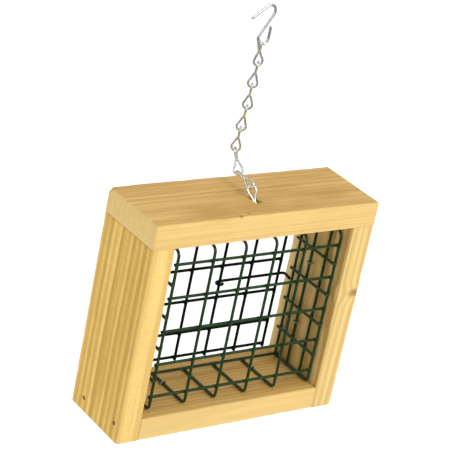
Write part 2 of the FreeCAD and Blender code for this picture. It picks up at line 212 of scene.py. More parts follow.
def cedar(name, grain, pith, ring, early, late, share, strength, front, marks,
          slope=0.0, saw=0.0, ends=0.0, knots=(), patches=()):
    """Return cedar cut from a log: rings about a pith line that runs along the grain.

    grain is "X" or "Z". pith is where the line passes, in millimetres, across and through the
    board. ring is the ring width, share the part of it that has the late colour, and strength
    how far it goes towards that colour. slope is how fast the rings drift along the board, and
    saw how strong the saw marks are. knots hold a place along, across and through, and a radius.
    patches are broad brown patches and marks small dark ones: each holds a place in the object's
    frame, a radius and a strength. Marks are rust and small stains, and a mark deep in a hole is
    painted shade. A patch darkens an area towards brown; on the bottom board's floor inside the
    cage it is painted shade. front is how much paler painted light makes the front face and its
    eased edges, and ends how much paler the end grain is than the rest.
    """
    g = Graph(name)
    place = g.place()
    axes = g.add("SeparateXYZ", place).outputs
    along, through = (axes[0], axes[2]) if grain == "X" else (axes[2], axes[0])
    across = axes[1]
    board = g.add("CombineXYZ", along, across, through).outputs[0]

    offset_across = g.math("SUBTRACT", across, pith[0])
    offset_through = g.math("SUBTRACT", through, pith[1])
    squares = g.math("ADD", g.math("POWER", offset_across, 2.0), g.math("POWER", offset_through, 2.0))
    radius = g.math("ADD", g.math("SQRT", squares), g.math("MULTIPLY", along, slope))
    sway = g.noise(board, (0.006, 0.03, 0.03), 2.0)
    radius = g.math("ADD", radius, g.math("MULTIPLY", g.math("SUBTRACT", sway, 0.5), 5.0))
    quiver = g.noise(board, (0.015, 0.11, 0.11), 2.0)
    radius = g.math("ADD", radius, g.math("MULTIPLY", g.math("SUBTRACT", quiver, 0.5), 1.6))
    near_knot = None
    for knot_along, knot_across, knot_through, size in knots:
        away = g.add("VectorMath", board, (knot_along, knot_across, knot_through), operation="SUBTRACT")
        flat = g.add("VectorMath", away.outputs[0], (0.9, 0.3, 0.42), operation="MULTIPLY")
        reach = g.add("VectorMath", flat.outputs[0], operation="LENGTH").outputs["Value"]
        bulge = g.step(reach, 0.0, size * 4.5, size * 1.3, 0.0)
        radius = g.math("ADD", radius, bulge)
        ragged = g.math("ADD", reach, g.math("MULTIPLY", g.noise(board, 0.9, 3.0), 2.2))
        inside = g.step(ragged, size * 0.75, size * 2.3, 1.0, 0.0)
        near_knot = inside if near_knot is None else g.math("MAXIMUM", near_knot, inside)

    rings = g.math("DIVIDE", radius, ring)
    turn = g.math("FRACT", rings)
    number = g.add("TexWhiteNoise", noise_dimensions="1D")
    g.put(number.inputs["W"], g.math("FLOOR", rings))
    strong = g.math("MULTIPLY_ADD", number.outputs["Value"], 0.55, 0.45)
    rise = g.step(turn, 0.90 - share, 1.14 - share)
    fall = g.step(turn, 0.88, 1.0, 1.0, 0.0)
    latewood = g.math("MULTIPLY", g.math("MULTIPLY", rise, fall), strong)

    bands = g.noise(board, (0.0015, 0.16, 0.16), 2.0)
    clouds = g.noise(board, (0.014, 0.05, 0.05), 3.0)
    lean = g.math("ADD", g.math("MULTIPLY", bands, 0.7), g.math("MULTIPLY", clouds, 0.3))
    fine = g.noise(board, (0.006, 0.75, 0.75), 3.0, 0.65)
    streaks = g.step(fine, 0.40, 0.66, 0.0, 0.42)
    lean = g.math("ADD", g.step(lean, 0.38, 0.66, 0.0, 0.5), streaks)
    colour = g.mix(lean, early, late)
    colour = g.mix(g.math("MULTIPLY", latewood, strength), colour, late)

    fibres = g.noise(board, (0.05, 2.4, 2.4), 3.0, 0.6)
    shade = g.step(fibres, 0.25, 0.75, 0.88, 1.08)
    if saw:
        kerf = g.noise(board, (1.1, 0.05, 0.05), 3.0, 0.7)
        shade = g.math("MULTIPLY", shade, g.step(kerf, 0.3, 0.7, 1.0 - saw, 1.0 + saw))
    colour = g.mix(1.0, colour, g.add("CombineColor", shade, shade, shade).outputs[0], "MULTIPLY")
    flecks = g.step(g.noise(board, (0.16, 2.2, 2.2), 2.0, 0.7), 0.66, 0.80)
    colour = g.mix(g.math("MULTIPLY", flecks, 0.4), colour, OAK)
    # Painted light: the front face and its eased edges are mixed towards the pale colour, as if lit by the
    # key light in front.
    edge = g.step(across, BOARD_FRONT + 0.4, BOARD_FRONT + 1.8, front, 0.0)
    tips = g.step(g.math("ABSOLUTE", along), TOP_END - 0.6, TOP_END - 0.1, 0.0, ends)
    colour = g.mix(g.math("MAXIMUM", edge, tips), colour, PALE_END_GRAIN_AND_LIT_FRONT)
    if near_knot is not None:
        colour = g.mix(g.math("MULTIPLY", near_knot, 0.7), colour, KNOT)
    for where, size, depth in patches:
        away = g.add("VectorMath", place, where, operation="SUBTRACT").outputs[0]
        wide = g.add("VectorMath", away, (0.55, 1.3, 1.0), operation="MULTIPLY").outputs[0]
        reach = g.add("VectorMath", wide, operation="LENGTH").outputs["Value"]
        ragged = g.math("ADD", reach, g.math("MULTIPLY", g.noise(place, (0.05, 0.4, 0.4), 3.0), size * 1.2))
        colour = g.mix(g.step(ragged, size * 0.7, size * 1.9, depth, 0.0), colour, OAK)
    # Marks are rust and small stains; a mark deep in a hole is painted shade.
    for where, size, depth in marks:
        away = g.add("VectorMath", place, where, operation="DISTANCE").outputs["Value"]
        ragged = g.math("ADD", away, g.math("MULTIPLY", g.noise(place, 0.8, 3.0, 0.7), size * 1.6))
        colour = g.mix(g.step(ragged, size * 0.9, size * 2.0, depth, 0.0), colour, RUST_AND_SLOT_SHADE)

    rough = g.step(fibres, 0.2, 0.8, 0.55, 0.72)
    relief = g.math("ADD", g.math("MULTIPLY", fibres, 0.6), g.math("MULTIPLY", latewood, 0.4))
    g.surface(Base_Color=colour, Roughness=rough, Specular_IOR_Level=0.22, Normal=g.bump(relief, 0.0002, 0.6))
    return g.material


def vinyl(name, base, fresh, shine):
    """Return dark green vinyl, slightly uneven, as dipped over welded wire."""
    g = Graph(name)
    place = g.place()
    clouds = g.noise(place, 0.16, 2.0)
    colour = g.mix(g.step(clouds, 0.35, 0.7), base, fresh)
    skin = g.noise(place, 1.3, 2.0)
    rough = g.step(g.noise(place, 0.6, 2.0), 0.3, 0.7, 0.16, 0.30)
    g.surface(Base_Color=colour, Roughness=rough, Specular_IOR_Level=shine,
              Normal=g.bump(skin, 0.00012, 0.35))
    return g.material


def plated(name, bright, dull, rough_low, rough_high, metallic):
    """Return plated or drawn steel wire with fine draw marks and a little dulling."""
    g = Graph(name)
    place = g.place()
    clouds = g.step(g.noise(place, 0.5, 3.0), 0.35, 0.72)
    colour = g.mix(clouds, bright, dull)
    marks = g.noise(place, (1.2, 1.2, 6.0), 2.0)
    rough = g.step(clouds, 0.0, 1.0, rough_low, rough_high)
    g.surface(Base_Color=colour, Metallic=metallic, Roughness=rough, Normal=g.bump(marks, 0.00004, 0.3))
    return g.material


# ---------------------------------------------------------------- meshes

def make_piece(name, bm, material, body):
    """Turn a finished bmesh into a piece that rides on a body."""
    mesh = bpy.data.meshes.new(name)
    bm.normal_update()
    bm.to_mesh(mesh)
    bm.free()
    piece = bpy.data.objects.new(name, mesh)
    bpy.context.scene.collection.objects.link(piece)
    mesh.materials.append(material)
    for face in mesh.polygons:
        face.use_smooth = True
    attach(piece, body)
    return piece


ROUND = 14
CAP_ANGLES = [math.radians(angle) for angle in (12, 38, 64)]
CAP_LENGTH = 0.9


def dome(station, angle, way):
    """Return a station of a wire's rounded end, at an angle from the end's pole."""
    point, heading, side, size = station
    depth = size * (1 - math.cos(angle)) * CAP_LENGTH
    return point + way * heading * depth, heading, side, size * math.sin(angle)


def add_tube(bm, points, radius, swell=None):
    """Add a closed round wire through points, with rounded ends. swell(point) scales it."""
    headings = []
    for index, point in enumerate(points):
        before, after = points[max(index - 1, 0)], points[min(index + 1, len(points) - 1)]
        headings.append((after - before).normalized())
    side = headings[0].orthogonal().normalized()
    stations = []
    for index, (point, heading) in enumerate(zip(points, headings)):
        if index:
            side = headings[index - 1].rotation_difference(heading) @ side
        side = (side - heading * side.dot(heading)).normalized()
        stations.append((point, heading, side, radius * (swell(point) if swell else 1)))
    first, last = stations[0], stations[-1]
    head = [dome(first, angle, 1) for angle in CAP_ANGLES]
    tail = [dome(last, angle, -1) for angle in reversed(CAP_ANGLES)]
    first = (first[0] + first[1] * first[3] * CAP_LENGTH, *first[1:])
    last = (last[0] - last[1] * last[3] * CAP_LENGTH, *last[1:])
    stations = head + [first] + stations[1:-1] + [last] + tail
    rings = []
    for point, heading, side, size in stations:
        across = heading.cross(side)
        rings.append([bm.verts.new(point + size * (math.cos(a) * side + math.sin(a) * across))
                      for a in (2 * math.pi * step / ROUND for step in range(ROUND))])
    for low, high in zip(rings, rings[1:]):
        for step in range(ROUND):
            ahead = (step + 1) % ROUND
            bm.faces.new((low[step], low[ahead], high[ahead], high[step]))
    for ring, at, order in ((rings[0], points[0], -1), (rings[-1], points[-1], 1)):
        pole = bm.verts.new(at)
        for step in range(ROUND):
            pair = (ring[step], ring[(step + 1) % ROUND])[::order]
            bm.faces.new((*pair, pole))


WELD_REACH, WELD_PITCH = 3 * MM, 0.7 * MM


def refined(points, welds):
    """Return a path with close stations wherever it passes a weld."""
    finer = [points[0]]
    for here, ahead in zip(points, points[1:]):
        span = (ahead - here).length
        near = any((nearest_on(here, ahead, weld) - weld).length < WELD_REACH for weld in welds)
        count = max(1, math.ceil(span / WELD_PITCH)) if near else 1
        finer += [here.lerp(ahead, step / count) for step in range(1, count + 1)]
    return finer


def nearest_on(start, end, point):
    """Return the point of a straight line that is nearest to another point."""
    share = (point - start).dot(end - start) / (end - start).length_squared
    return start.lerp(end, min(1, max(0, share)))


def run(start, end, pitch=6 * MM):
    """Return points along a straight run."""
    count = max(2, round((end - start).length / pitch) + 1)
    return [start.lerp(end, step / (count - 1)) for step in range(count)]


BEND_STEPS = 8


def bend(corner, before, after, radius):
    """Return the points of a tangent arc that rounds a corner."""
    back, ahead = (before - corner).normalized(), (after - corner).normalized()
    half = back.angle(ahead) / 2
    centre = corner + (back + ahead).normalized() * (radius / math.sin(half))
    enter = corner + back * (radius / math.tan(half))
    leave = corner + ahead * (radius / math.tan(half))
    first, last = enter - centre, leave - centre
    turn = first.rotation_difference(last)
    return [centre + Matrix.Rotation(turn.angle * step / BEND_STEPS, 3, turn.axis) @ first
            for step in range(BEND_STEPS + 1)]


def bent_path(corners, radii):
    """Return points along straight runs with a rounded bend at each inner corner."""
    points = [corners[0]]
    for before, corner, after, radius in zip(corners, corners[1:], corners[2:], radii):
        arc = bend(corner, before, after, radius)
        points += run(points[-1], arc[0])[1:-1] + arc
    return points + run(points[-1], corners[-1])[1:]


def level_arc(centre, radius, start, end):
    """Return points on a level circle between two angles in degrees."""
    count = max(2, round(abs(end - start) / 12) + 1)
    angles = [math.radians(start + (end - start) * number / (count - 1)) for number in range(count)]
    return [centre + radius * (math.cos(a) * X + math.sin(a) * Y) for a in angles]


def wire_piece(node, paths, body, material, radius=WIRE, welds=()):
    """Replace a wire CAD node with tubes along the given paths, thicker where they are welded."""
    def swell(point):
        """Return how much thicker the coating is here."""
        away = min((weld - point).length for weld in welds)
        return 1 + 0.12 * math.exp(-((away - WIRE) / (1.2 * MM)) ** 2)

    bm = bmesh.new()
    for path in paths:
        if welds:
            near = [weld for weld in welds if near_path(path, weld)]
            add_tube(bm, refined(path, near), radius, swell if near else None)
        else:
            add_tube(bm, path, radius)
    piece = make_piece(f"{node}_wire", bm, material, body)
    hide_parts(node)


def near_path(path, point):
    """Tell whether a wire's path passes through a weld."""
    return any((nearest_on(start, end, point) - point).length < 1.3 * WIRE
               for start, end in zip(path, path[1:]))


def crossings(paths):
    """Return the points where two straight runs of different wires touch."""
    straights = [(number, start, end) for number, path in enumerate(paths)
                 for start, end in joined_runs(path)]
    found = []
    for index, (wire, start, end) in enumerate(straights):
        for other, low, high in straights[index + 1:]:
            if wire == other or abs((end - start).normalized().dot((high - low).normalized())) > 0.5:
                continue
            first, second = geometry.intersect_line_line(start, end, low, high)
            inside = ((nearest_on(start, end, first) - first).length < WIRE
                      and (nearest_on(low, high, second) - second).length < WIRE)
            if inside and (first - second).length < 2.1 * WIRE:
                found.append((nearest_on(start, end, first) + nearest_on(low, high, second)) / 2)
    return found


def joined_runs(path):
    """Return the long straight stretches of a path."""
    stretches = []
    start = path[0]
    for before, here, after in zip(path, path[1:], path[2:]):
        if (here - before).angle(after - here) > 0.02:
            stretches.append((start, here))
            start = here
    stretches.append((start, path[-1]))
    return [(low, high) for low, high in stretches if (high - low).length > 5 * MM]


def weld_piece(name, places, body, material):
    """Add the vinyl that pools round each weld as a small uneven bead."""
    bm = bmesh.new()
    for place in places:
        bead = bmesh.ops.create_uvsphere(bm, u_segments=10, v_segments=7, radius=1)["verts"]
        size = BEAD_RADIUS * random.uniform(0.94, 1.06)
        for vert in bead:
            lump = 1 + 0.08 * noise.noise(vert.co * 1.5 + place * 900)
            vert.co = place + vert.co * size * lump
    return make_piece(name, bm, material, body)


# ---------------------------------------------------------------- materials in use

green = vinyl("green_vinyl", (0.007, 0.035, 0.008, 1), (0.013, 0.052, 0.015, 1), 0.5)
# The door, its welds and the latch take a darker copy of the green vinyl. It is painted shade for the shadow
# inside the cage, behind the front wires.
painted_shade_green = vinyl("painted_shade_green_vinyl", (0.002, 0.008, 0.003, 1), (0.004, 0.013, 0.005, 1), 0.08)
zinc = plated("bright_zinc", (0.90, 0.91, 0.88, 1), (0.62, 0.63, 0.59, 1), 0.12, 0.28, 0.88)
rusty_steel = plated("rusty_steel", (0.30, 0.17, 0.07, 1), (0.17, 0.085, 0.03, 1), 0.4, 0.7, 0.35)
drawn_steel = plated("drawn_steel", (0.40, 0.38, 0.33, 1), (0.20, 0.18, 0.15, 1), 0.3, 0.5, 0.6)

# ---------------------------------------------------------------- the welded cage

cage_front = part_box("cage_uprights")[0].y + WIRE


def upright_paths():
    """Return each bent upright's path: forward along the floor, up the front, back at the top."""
    paths = []
    for low, high in solids("cage_uprights"):
        across = (low.x + high.x) / 2
        floor, ceiling, rear = low.z + WIRE, high.z - WIRE, high.y
        paths.append(bent_path([
            Vector((across, rear, floor)), Vector((across, cage_front, floor)),
            Vector((across, cage_front, ceiling)), Vector((across, rear, ceiling)),
        ], [LOWER_BEND, UPPER_BEND]))
    return paths


cage_paths = {"cage_uprights": upright_paths()}
for node in ("cage_crossbars", "cage_left_side_bars", "cage_left_side_uprights", "cage_right_side_bars",
             "cage_right_side_uprights", "cage_hinge_upright", "cage_rear_bottom_bar", "cage_rear_top_bar"):
    cage_paths[node] = [run(*ends) for ends in wires_of(node)]
cage_welds = crossings([path for paths in cage_paths.values() for path in paths])
for node, paths in cage_paths.items():
    wire_piece(node, paths, "frame", green, welds=cage_welds)
weld_piece("cage_welds", cage_welds, "frame", green)

# ---------------------------------------------------------------- the rear door and its latch

EYE_RADIUS = 2 * WIRE + HINGE_CLEARANCE
EYE_START, HINGE_EYE_END, LATCH_EYE_END = 346, 90, 110
hinge_pin, _ = joint("door_hinge")
latch_pin, _ = joint("latch_pivot")


def hinge_bar_paths():
    """Return each hinge bar's path: curled round the pin, then straight across the door."""
    paths = []
    for low, high in solids("door_hinge_bars"):
        pin = Vector((hinge_pin.x, hinge_pin.y, (low.z + high.z) / 2))
        eye = level_arc(pin, EYE_RADIUS, EYE_START, HINGE_EYE_END)
        paths.append(eye + run(eye[-1], Vector((high.x, eye[-1].y, pin.z)))[1:])
    return paths


def latch_path():
    """Return the latch's path: an eye round its upright, an arm and an end bent forward."""
    _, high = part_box("door_latch")
    eye = level_arc(latch_pin, EYE_RADIUS, EYE_START, LATCH_EYE_END)
    turn = math.radians(LATCH_EYE_END)
    heading = Vector((math.sin(turn), -math.cos(turn), 0))
    arm_back = latch_pin.y + 2 * WIRE + LATCH_GAP
    knee = eye[-1] + heading * ((arm_back - eye[-1].y) / heading.y)
    elbow = Vector((high.x - WIRE, arm_back, latch_pin.z))
    tip = elbow + Vector((0, -LATCH_LEG, -LATCH_LEG / 5))
    return eye + bent_path([eye[-1], knee, elbow, tip], [LATCH_BEND, LATCH_BEND])[1:]


door_paths = {"door_hinge_bars": hinge_bar_paths()}
for node in ("door_uprights", "door_crossbars"):
    door_paths[node] = [run(*ends) for ends in wires_of(node)]
door_welds = crossings([path for paths in door_paths.values() for path in paths])
for node, paths in door_paths.items():
    # Door wires take the darker vinyl, which is painted shade.
    wire_piece(node, paths, "door", painted_shade_green, welds=door_welds)
weld_piece("door_welds", door_welds, "door", painted_shade_green)
wire_piece("door_latch", [latch_path()], "latch", painted_shade_green)

# ---------------------------------------------------------------- boards

EDGE_STEPS = 5
WEAR_LENGTH, WEAR_DEPTH = 9 * MM, 0.5 * MM


def board_blank(low, high, grain, radii, chamfer, seed):
    """Return a board as a bmesh: eased long edges, worn a little, and barely chamfered ends.

    radii belong to the long edges in the order (-,-), (+,-), (+,+), (-,+) of the two cross axes.
    """
    first, second, third = {"X": (0, 1, 2), "Z": (2, 0, 1)}[grain]
    centre = (low + high) / 2
    half = (high - low) / 2
    across, through = half[second], half[third]
    corners = [(-1, -1, 180), (1, -1, 270), (1, 1, 0), (-1, 1, 90)]
    profile = []
    for number, (side, level, angle) in enumerate(corners):
        radius = radii[number]
        for step in range(EDGE_STEPS + 1):
            turn = math.radians(angle + 90 * step / EDGE_STEPS)
            normal = (math.cos(turn), math.sin(turn))
            profile.append(((side * (across - radius) + radius * normal[0],
                             level * (through - radius) + radius * normal[1]), normal, number))
        ahead = corners[(number + 1) % 4]
        after = radii[(number + 1) % 4]
        start = profile[-1][0]
        turn = math.radians(ahead[2])
        stop = (ahead[0] * (across - after) + after * math.cos(turn),
                ahead[1] * (through - after) + after * math.sin(turn))
        count = max(2, round(math.dist(start, stop) / (4 * MM)))
        for step in range(1, count):
            share = step / count
            profile.append(((start[0] + (stop[0] - start[0]) * share,
                             start[1] + (stop[1] - start[1]) * share), None, number))
    length = half[first]
    count = round(2 * length / (3 * MM))
    stations = [(-length, 1.0), (-length + 0.35 * chamfer, 0.35)]
    stations += [(-length + chamfer + (2 * length - 2 * chamfer) * step / count, 0.0)
                 for step in range(count + 1)]
    stations += [(length - 0.35 * chamfer, 0.35), (length, 1.0)]
    bm = bmesh.new()
    rings = []
    for along, inset in stations:
        ring = []
        for (a, b), normal, number in profile:
            if normal:
                wear = noise.noise(Vector((along / WEAR_LENGTH, number * 7.3 + seed, 0)))
                bite = max(0.0, wear) * WEAR_DEPTH
                a, b = a - normal[0] * bite, b - normal[1] * bite
            scale_a = (across - inset * chamfer) / across
            scale_b = (through - inset * chamfer) / through
            point = Vector((0, 0, 0))
            point[first], point[second], point[third] = along, a * scale_a, b * scale_b
            ring.append(bm.verts.new(centre + point))
        rings.append(ring)
    total = len(profile)
    for near, far in zip(rings, rings[1:]):
        for step in range(total):
            ahead = (step + 1) % total
            bm.faces.new((near[step], near[ahead], far[ahead], far[step]))
    bm.faces.new(rings[0])
    bm.faces.new(rings[-1])
    bmesh.ops.recalc_face_normals(bm, faces=bm.faces)
    return bm


LATHE_SIDES = 20


def lathe(bm, origin, heading, profile):
    """Turn a profile of (radius, depth) pairs about a line that starts at an origin."""
    side = heading.orthogonal().normalized()
    across = heading.cross(side)
    rings = []
    for radius, depth in profile:
        centre = origin + heading * depth
        if radius == 0:
            rings.append([bm.verts.new(centre)])
        else:
            rings.append([bm.verts.new(centre + radius * (math.cos(a) * side + math.sin(a) * across))
                          for a in (2 * math.pi * step / LATHE_SIDES for step in range(LATHE_SIDES))])
    for near, far in zip(rings, rings[1:]):
        for step in range(LATHE_SIDES):
            ahead = (step + 1) % LATHE_SIDES
            loop = [near[step % len(near)], near[ahead % len(near)],
                    far[ahead % len(far)], far[step % len(far)]]
            bm.faces.new(list(dict.fromkeys(loop)))


def slot_cutter(top):
    """Return the ragged round-ended hole that the chain eye stands in, cut down from a height."""
    bm = bmesh.new()
    middle = Vector((0, SLOT_BACK, top))
    radius, reach = SLOT_WIDTH / 2, (SLOT_LENGTH - SLOT_WIDTH) / 2
    outline = []
    for side, start in ((1, 0), (-1, 180)):
        for step in range(9):
            turn = math.radians(start + 22.5 * step)
            outline.append(Vector((radius * math.cos(turn), side * reach + radius * math.sin(turn), 0)))
    rings = []
    for depth in (-2 * MM, 0, 0.5 * MM, 2.2 * MM, 4.5 * MM, SLOT_DEPTH):
        flare = 1.10 if depth <= 0 else 1.0
        ring = []
        for point in outline:
            rag = 1 + 0.10 * noise.noise(point * 700 + Vector((0, 0, depth * 500)))
            ring.append(bm.verts.new(middle + point * flare * rag - Z * depth))
        rings.append(ring)
    for near, far in zip(rings, rings[1:]):
        for step in range(len(outline)):
            ahead = (step + 1) % len(outline)
            bm.faces.new((near[step], near[ahead], far[ahead], far[step]))
    bm.faces.new(rings[0])
    bm.faces.new(rings[-1])
    bmesh.ops.recalc_face_normals(bm, faces=bm.faces)
    return bm


def carve(bm, cutter):
    """Return a mesh of the board with the cutter's solids taken out of it."""
    meshes = []
    for number, part in enumerate((bm, cutter)):
        mesh = bpy.data.meshes.new(f"carving_{number}")
        part.to_mesh(mesh)
        part.free()
        meshes.append(bpy.data.objects.new(f"carving_{number}", mesh))
        bpy.context.scene.collection.objects.link(meshes[-1])
    block, tool = meshes
    change = block.modifiers.new("carve", "BOOLEAN")
    change.operation, change.solver, change.object = "DIFFERENCE", "EXACT", tool
    bpy.context.view_layer.update()
    carved = bmesh.new()
    result = block.evaluated_get(bpy.context.evaluated_depsgraph_get())
    carved.from_mesh(result.to_mesh())
    result.to_mesh_clear()
    for item in meshes:
        mesh = item.data
        bpy.data.objects.remove(item)
        bpy.data.meshes.remove(mesh)
    return carved


def knock_off(bm, place, outward, depth):
    """Cut one corner of a board with a plane, as if it had been knocked, and close the cut."""
    outward = outward.normalized()
    geom = bm.verts[:] + bm.edges[:] + bm.faces[:]
    cut = bmesh.ops.bisect_plane(bm, geom=geom, plane_co=place - outward * depth, plane_no=outward,
                                 clear_outer=True)
    rim = [item for item in cut["geom_cut"] if isinstance(item, bmesh.types.BMEdge)]
    bmesh.ops.holes_fill(bm, edges=rim, sides=len(rim))


# Radius and depth in millimetres: a brad from its head to its point, and the dent round a head.
BRAD = [(0, 0.30), (0.7, 0.25), (1.2, 0.33), (1.48, 0.52), (1.5, 0.75), (1.2, 0.98), (0.8, 1.12),
        (0.8, 36.0), (0.42, 37.4), (0, 38.0)]
CRATER = [(0, -1.0), (2.15, -1.0), (2.1, 0.0), (1.7, 0.22), (1.56, 0.6), (1.56, 0.9), (0, 0.9)]


def in_metres(profile):
    """Return a profile in metres."""
    return [(radius * MM, depth * MM) for radius, depth in profile]


def brad_places(node):
    """Return each brad's outer end and the way it is driven."""
    places = []
    for low, high in solids(node):
        middle = (low + high) / 2
        if high.x - low.x > high.z - low.z:
            side = math.copysign(1, middle.x)
            places.append((Vector((high.x if side > 0 else low.x, middle.y, middle.z)), -side * X))
        else:
            places.append((Vector((middle.x, middle.y, high.z)), -Z))
    return places


def brad_piece(node):
    """Replace a node of brads with turned ones."""
    bm = bmesh.new()
    for origin, heading in brad_places(node):
        lathe(bm, origin, heading, in_metres(BRAD))
    bmesh.ops.recalc_face_normals(bm, faces=bm.faces)
    piece = make_piece(f"{node}_driven", bm, rusty_steel, "frame")
    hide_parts(node)


def board_piece(node, grain, material, radii, chamfer, seed, cutter=None, knock=None):
    """Replace a board. radii and chamfer are in millimetres, and seed varies the wear."""
    low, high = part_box(node)
    bm = board_blank(low, high, grain, [radius * MM for radius in radii], chamfer * MM, seed)
    if knock:
        knock_off(bm, *knock)
    if cutter:
        bm = carve(bm, cutter)
    piece = make_piece(f"{node}_sawn", bm, material, "frame")
    piece.data.set_sharp_from_angle(angle=math.radians(40))
    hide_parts(node)


outer_brads = brad_places("bottom_brads")
side_craters = {}
for side in (-1, 1):
    side_craters[side] = bmesh.new()
    for origin, heading in outer_brads:
        if origin.x * side > 0:
            lathe(side_craters[side], origin, heading, in_metres(CRATER))
    bmesh.ops.recalc_face_normals(side_craters[side], faces=side_craters[side].faces)

top_low, top_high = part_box("top_board")
rust = [(tuple((origin - heading * 0.2 * MM) / MM), 1.9, 0.7) for origin, heading in outer_brads]

# The top board's last mark sits deep in the chain slot and is painted shade that darkens the hole.
board_piece(
    "top_board", "X",
    cedar("cedar_top", "X", (-150, 150), 6.2, (0.77, 0.51, 0.175, 1), OAK, share=0.55, strength=0.48,
          front=0.42, ends=0.7,
          patches=[((-42, -20, 171.5), 15, 0.7), ((-4, -19, 171.5), 13, 0.7), ((34, -20, 171.5), 11, 0.5),
                   ((66, -12, 171.5), 12, 0.6)],
          marks=[((-27, -30, 171.4), 2.2, 0.6), ((-18, -27, 171.4), 1.6, 0.5),
                 ((2.6, -12.5, 171.4), 1.6, 0.8), ((0, -7, 165.5), 6, 0.95)]),
    [0.5, 0.5, 1.0, 1.5], 0.7, 1.0, cutter=slot_cutter(top_high.z),
    knock=(Vector((top_low.x, top_high.y, top_high.z)), Vector((-1.0, 0.7, 0.9)), 2.6 * MM))
# The bottom board's broad patch is painted shade: it darkens the floor inside the cage towards brown.
board_piece(
    "bottom_board", "X",
    cedar("cedar_bottom", "X", (-160, 20), 3.9, (0.71, 0.47, 0.15, 1), OAK, share=0.45, strength=0.75,
          front=0.6, patches=[((-20, 2, 17.5), 20, 0.4)],
          marks=[((8, -8, 17.5), 1.2, 0.5)]),
    [0.9, 0.9, 1.0, 1.2], 0.25, 4.0)
board_piece(
    "left_side_board", "Z",
    cedar("cedar_left", "Z", (-125, -60), 6.9, (0.90, 0.62, 0.19, 1), (0.58, 0.345, 0.062, 1),
          share=0.6, strength=1.0, saw=0.065, front=0.42, marks=rust + [((-96.85, -32.4, 107), 1.2, 0.5)]),
    [2.2, 0.9, 0.8, 1.2], 0.3, 2.0, cutter=side_craters[-1])
board_piece(
    "right_side_board", "Z",
    cedar("cedar_right", "Z", (10, 150), 5.2, (0.82, 0.60, 0.24, 1), (0.50, 0.30, 0.075, 1),
          share=0.5, strength=0.95, slope=0.01, front=0.40, knots=[(97.5, -31, 95, 2.5)], marks=rust),
    [0.9, 1.5, 1.2, 0.8], 0.3, 3.0, cutter=side_craters[1])
brad_piece("top_brads")
brad_piece("bottom_brads")


def staple_paths():
    """Return each staple's path: up one leg, round the crown and down the other leg."""
    paths = []
    for low, high in solids("cage_staples"):
        middle = (low + high) / 2
        if high.y - low.y < high.z - low.z:
            across, outward, top, tip = X, Z, high.z, low.z
            crown = (high.x - low.x) / 2 - STAPLE_WIRE
            rim = Vector((middle.x, middle.y, top - STAPLE_WIRE - crown))
        else:
            across, outward, top, tip = Y, -X, low.x, high.x
            crown = (high.y - low.y) / 2 - STAPLE_WIRE
            rim = Vector((top + STAPLE_WIRE + crown, middle.y, middle.z))
        leg = abs(tip - rim.dot(Z if outward == Z else X))
        bow = [rim + crown * (math.cos(a) * across + math.sin(a) * outward)
               for a in (math.pi * step / 12 for step in range(13))]
        paths.append(run(bow[0] - outward * leg, bow[0], 3 * MM)[:-1] + bow
                     + run(bow[-1], bow[-1] - outward * leg, 3 * MM)[1:])
    return paths


wire_piece("cage_staples", staple_paths(), "frame", drawn_steel, STAPLE_WIRE)

# ---------------------------------------------------------------- chain, eye and hook

def arc_between(centre, radius, start, end, right, up, step=15):
    """Return points on an arc in the plane of two directions, between two angles in radians."""
    count = max(2, round(abs(end - start) / math.radians(step)) + 1)
    angles = [start + (end - start) * number / (count - 1) for number in range(count)]
    return [centre + radius * (math.cos(a) * right + math.sin(a) * up) for a in angles]


def drop_path(base, right, up, width, height, gap):
    """Return a drop-shaped loop's path, from one leg round the far end to the other leg."""
    radius = width / 2
    centre = base + up * radius
    leg = base + right * gap + up * height
    away = leg - centre
    lean = math.atan2(away.dot(up), away.dot(right)) - math.acos(radius / away.length)
    arc = arc_between(centre, radius, lean, -math.pi - lean, right, up)
    other = base - right * gap + up * height
    return run(leg, arc[0], 2 * MM)[:-1] + arc + run(arc[-1], other, 2 * MM)[1:]


def link_frame(number):
    """Return a link's base, its direction and the two directions of its loops, from its mesh."""
    points = [vertex.co.copy() for vertex in frame["nodes"][f"chain_link_{number}"].data.vertices]
    low_end, _ = joint(f"link_{number}_swing")
    centre = sum(points, Vector()) / len(points)
    heading = principal([point - centre for point in points])
    if (low_end - centre).dot(heading) > 0:
        heading = -heading
    reach = [(point - centre).dot(heading) for point in points]
    base = centre + heading * (min(reach) + CHAIN_WIRE)
    lower = [point - base for point in points if (point - base).dot(heading) < FACE_LOOP * 0.8]
    right = principal([point - heading * point.dot(heading) for point in lower])
    right = (right - heading * right.dot(heading)).normalized()
    return base, heading, right, heading.cross(right)


def principal(points):
    """Return the direction in which a cloud of points about the origin is widest."""
    direction = Vector((0.3, 0.5, 0.8)).normalized()
    for _ in range(60):
        direction = sum((point * point.dot(direction) for point in points), Vector()).normalized()
    return direction


def link_path(number):
    """Return one link's wire: its lower loop, through the waist, and its crosswise upper loop."""
    base, up, right, front = link_frame(number)
    gap = CHAIN_WIRE * 1.02
    waist = FACE_LOOP
    lower = drop_path(base, right, up, FACE_WIDTH, waist - 0.4 * MM, gap)
    top = base + up * LINK_LENGTH
    upper = drop_path(top, front, -up, EDGE_WIDTH, LINK_LENGTH - waist - 0.4 * MM, gap)
    tuck_in = base + up * (waist + 0.9 * MM) + right * gap * 0.75
    tuck_out = base + up * (waist - 0.9 * MM) - front * gap * 0.75
    return [tuck_in] + lower + upper + [tuck_out]


for number in range(1, 8):
    wire_piece(f"chain_link_{number}", [link_path(number)], f"link_{number}", zinc, CHAIN_WIRE)


